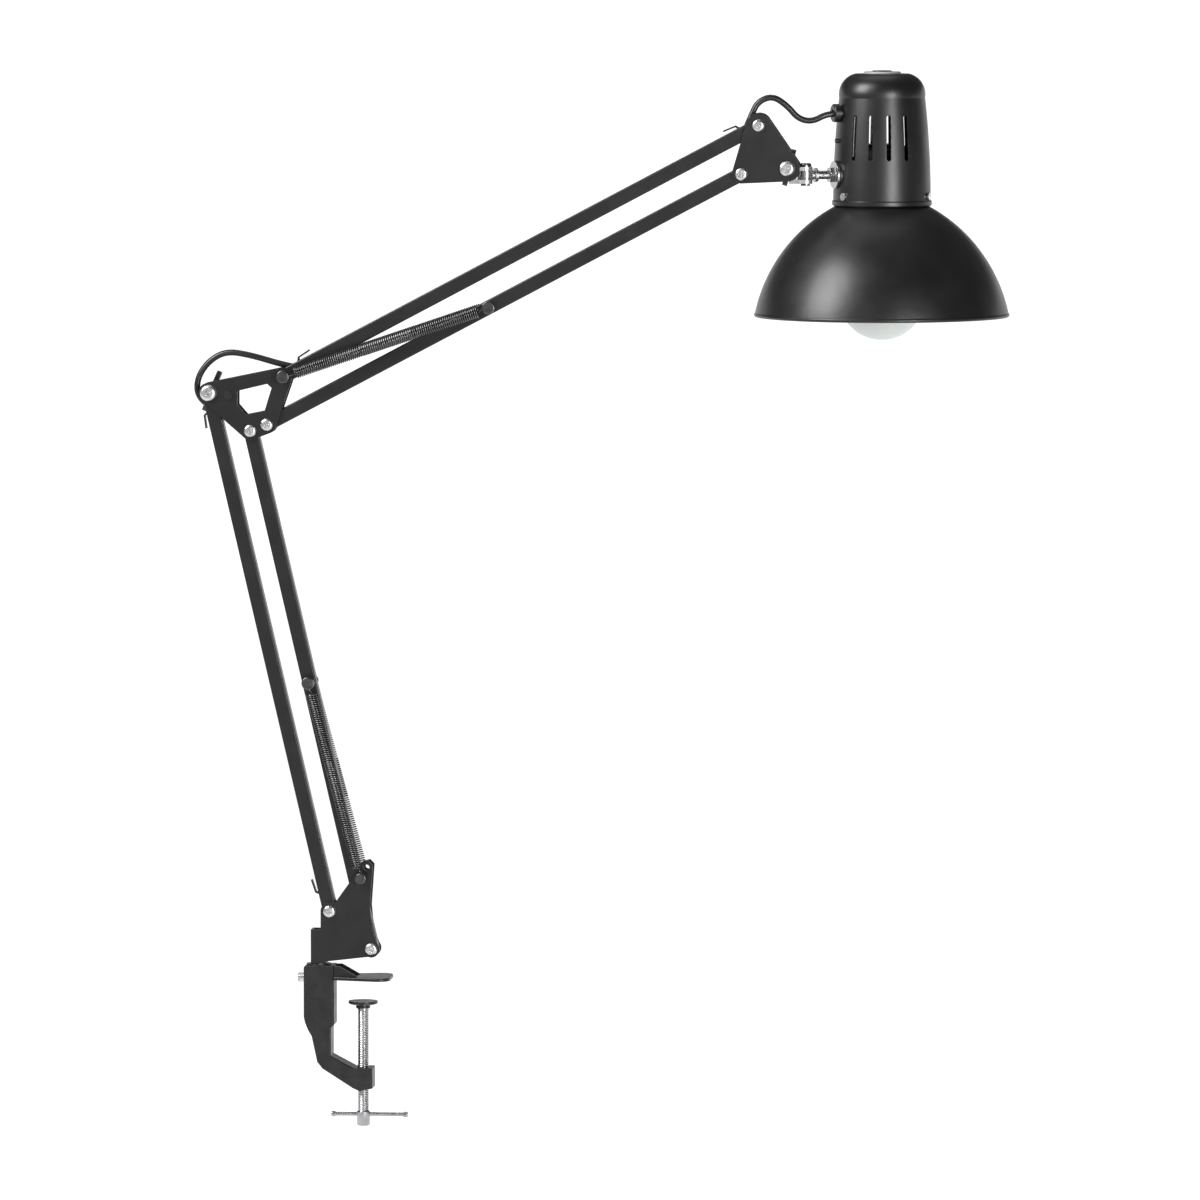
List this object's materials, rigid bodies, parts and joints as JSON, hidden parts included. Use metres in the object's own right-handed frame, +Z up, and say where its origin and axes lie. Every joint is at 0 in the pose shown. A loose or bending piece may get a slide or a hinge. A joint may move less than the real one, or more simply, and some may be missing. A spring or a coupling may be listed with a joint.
{
  "type": "architect desk lamp",
  "caption": "Table-clamp task lamp: swivel base, two spring-balanced parallelogram arms, and a domed shade with a vented cap that tilts and swings",
  "frame": {"origin": "the underside of the clamp's upper jaw, where it rests on the table, on the clamp screw's axis", "axes": "+Z up, +X the way the arms reach over the table, -Y the side with the screw heads"},
  "size_m": [0.5673, 0.1776, 0.7381],
  "materials": {
    "black_paint": "satin",
    "black_iron": "satin powder coat",
    "zinc": "bright zinc",
    "chrome": "polished",
    "black_plastic": "matte",
    "bakelite": "semi-gloss",
    "grey_plastic": "matte",
    "black_steel": "black oxide",
    "cable": "matte",
    "frosted_glass": "frosted"
  },
  "bodies": {
    "clamp": {"clamp_frame": "black_iron", "jaw_plate": "black_paint"},
    "post_screw": {"post_set_screw": "zinc"},
    "pad": {"pressure_pad": "black_paint"},
    "clamp_screw": {"clamp_screw": "chrome"},
    "tommy_bar": {"tommy_bar": "chrome"},
    "base": {"base_bracket": "black_paint", "swivel_post": "zinc", "base_main_screw": "zinc", "base_main_nut": "zinc", "base_rear_screw": "zinc", "base_rear_nut": "zinc"},
    "lower_springs": {"base_stud_near": "black_steel", "base_stud_far": "black_steel", "lower_spring_near": "black_steel", "lower_spring_far": "black_steel"},
    "lower_arm": {"lower_front_bar": "black_paint", "lower_lead": "cable"},
    "lower_rear": {"lower_rear_bar": "black_paint"},
    "lower_post": {"lower_spring_post": "black_steel"},
    "elbow": {"elbow_plate_near": "black_paint", "elbow_plate_far": "black_paint", "elbow_main_screw": "zinc", "elbow_lower_screw": "zinc", "elbow_lower_nut": "zinc", "elbow_upper_screw": "zinc", "elbow_upper_nut": "zinc", "elbow_spacer": "black_plastic", "elbow_lead": "cable"},
    "elbow_wing": {"elbow_wing_nut": "black_plastic"},
    "upper_springs": {"elbow_spring_pin": "black_steel", "upper_spring_near": "black_steel", "upper_spring_far": "black_steel"},
    "upper_arm": {"upper_top_bar": "black_paint", "upper_lead": "cable"},
    "upper_lower": {"upper_lower_bar": "black_paint"},
    "upper_post": {"upper_spring_post": "black_steel"},
    "head_bracket": {"head_plate_near": "black_paint", "head_plate_far": "black_paint", "head_top_screw": "zinc", "head_top_nut": "zinc", "head_lower_screw": "zinc", "head_lower_nut": "zinc", "head_tilt_screw": "zinc", "head_lead": "cable"},
    "head_wing": {"head_wing_nut": "black_plastic"},
    "knuckle": {"knuckle": "zinc", "yaw_pin": "black_steel"},
    "head": {"head_rod": "chrome", "rod_nut": "chrome", "cap_housing": "black_paint", "shade_dome": "black_paint", "shade_screw_1": "zinc", "shade_screw_2": "zinc", "shade_screw_3": "zinc", "lampholder": "bakelite", "switch_ring": "grey_plastic", "lead_grommet": "cable"},
    "switch": {"switch_button": "black_plastic"},
    "bulb": {"bulb": "frosted_glass"}
  },
  "joints": [
    {"name": "post_screw_turn", "type": "hinge", "parent": "clamp", "child": "post_screw", "pos_m": [-0.0408, 0, 0.0006], "axis": [1, 0, 0], "continuous": true},
    {"name": "clamp_travel", "type": "slide", "parent": "clamp", "child": "pad", "axis": [0, 0, 1], "range_m": [-0.035, 0.01375]},
    {"name": "clamp_screw_turn", "type": "hinge", "parent": "pad", "child": "clamp_screw", "pos_m": [0, 0, -0.0205], "axis": [0, 0, 1], "range_deg": [-10200, 4080]},
    {"name": "tommy_slide", "type": "slide", "parent": "clamp_screw", "child": "tommy_bar", "axis": [1, 0, 0], "range_m": [-0.023, 0.014]},
    {"name": "base_swivel", "type": "hinge", "parent": "clamp", "child": "base", "pos_m": [-0.031, 0, 0.011], "axis": [0, 0, 1], "continuous": true},
    {"name": "lower_arm", "type": "hinge", "parent": "base", "child": "lower_arm", "pos_m": [-0.0228, 0, 0.0479], "axis": [0, 1, 0], "range_deg": [-18, 50]},
    {"name": "lower_rear_turn", "type": "hinge", "parent": "base", "child": "lower_rear", "pos_m": [0.0064, 0, 0.0215], "axis": [0, 1, 0], "range_deg": [-18.6, 50.6]},
    {"name": "elbow_level", "type": "hinge", "parent": "lower_arm", "child": "elbow", "pos_m": [-0.1069, 0, 0.4102], "axis": [0, 1, 0], "range_deg": [-50.6, 18.6]},
    {"name": "lower_spring_turn", "type": "hinge", "parent": "base", "child": "lower_springs", "pos_m": [-0.0004, 0, 0.0716], "axis": [0, 1, 0], "range_deg": [-24.2, 66.1], "deforming": ["lower_spring_near", "lower_spring_far"]},
    {"name": "lower_post_turn", "type": "hinge", "parent": "lower_rear", "child": "lower_post", "pos_m": [-0.03691, 0, 0.20808], "axis": [0, 1, 0], "range_deg": [-6.2, 16.1]},
    {"name": "elbow_wing_turn", "type": "hinge", "parent": "elbow", "child": "elbow_wing", "pos_m": [-0.1069, 0, 0.4102], "axis": [0, 1, 0], "continuous": true},
    {"name": "upper_arm", "type": "hinge", "parent": "elbow", "child": "upper_arm", "pos_m": [-0.0542, 0, 0.4219], "axis": [0, 1, 0], "range_deg": [-12, 50], "deforming": ["elbow_lead"]},
    {"name": "upper_lower_turn", "type": "hinge", "parent": "elbow", "child": "upper_lower", "pos_m": [-0.06605, 0, 0.38825], "axis": [0, 1, 0], "range_deg": [-12.6, 50.6]},
    {"name": "upper_spring_turn", "type": "hinge", "parent": "elbow", "child": "upper_springs", "pos_m": [-0.0542, 0, 0.4219], "axis": [0, 1, 0], "range_deg": [-13.3, 53.6], "deforming": ["upper_spring_near", "upper_spring_far"]},
    {"name": "upper_post_turn", "type": "hinge", "parent": "upper_lower", "child": "upper_post", "pos_m": [0.08957, 0, 0.47069], "axis": [0, 1, 0], "range_deg": [-1.3, 3.6]},
    {"name": "head_level", "type": "hinge", "parent": "upper_arm", "child": "head_bracket", "pos_m": [0.2769, 0, 0.5973], "axis": [0, 1, 0], "range_deg": [-50.6, 12.6]},
    {"name": "head_wing_turn", "type": "hinge", "parent": "head_bracket", "child": "head_wing", "pos_m": [0.2968, 0, 0.5675], "axis": [0, 1, 0], "continuous": true},
    {"name": "head_tilt", "type": "hinge", "parent": "head_bracket", "child": "knuckle", "pos_m": [0.2968, 0, 0.5675], "axis": [0, 1, 0], "range_deg": [-45, 25], "deforming": ["head_lead"]},
    {"name": "head_yaw", "type": "hinge", "parent": "knuckle", "child": "head", "pos_m": [0.309, 0, 0.5628], "axis": [0, 0, 1], "range_deg": [-83, 37]},
    {"name": "switch_press", "type": "slide", "parent": "head", "child": "switch", "axis": [0, 0, 1], "range_m": [-0.0015, 0], "stiffness_N_per_m": 400},
    {"name": "bulb_turn", "type": "hinge", "parent": "head", "child": "bulb", "pos_m": [0.36082, 0.022, 0.54], "axis": [0, 0, 1], "continuous": true}
  ],
  "couplings": [
    {"joint": "clamp_screw_turn", "follows": "clamp_travel", "rad_per_m": 5026.5},
    {"joint": "lower_rear_turn", "follows": "lower_arm", "ratio": 1},
    {"joint": "elbow_level", "follows": "lower_arm", "ratio": -1},
    {"joint": "lower_spring_turn", "follows": "lower_arm", "ratio": 1.31},
    {"joint": "lower_post_turn", "follows": "lower_arm", "ratio": 0.31},
    {"joint": "upper_lower_turn", "follows": "upper_arm", "ratio": 1},
    {"joint": "head_level", "follows": "upper_arm", "ratio": -1},
    {"joint": "upper_spring_turn", "follows": "upper_arm", "ratio": 1.06},
    {"joint": "upper_post_turn", "follows": "upper_arm", "ratio": 0.06}
  ]
}
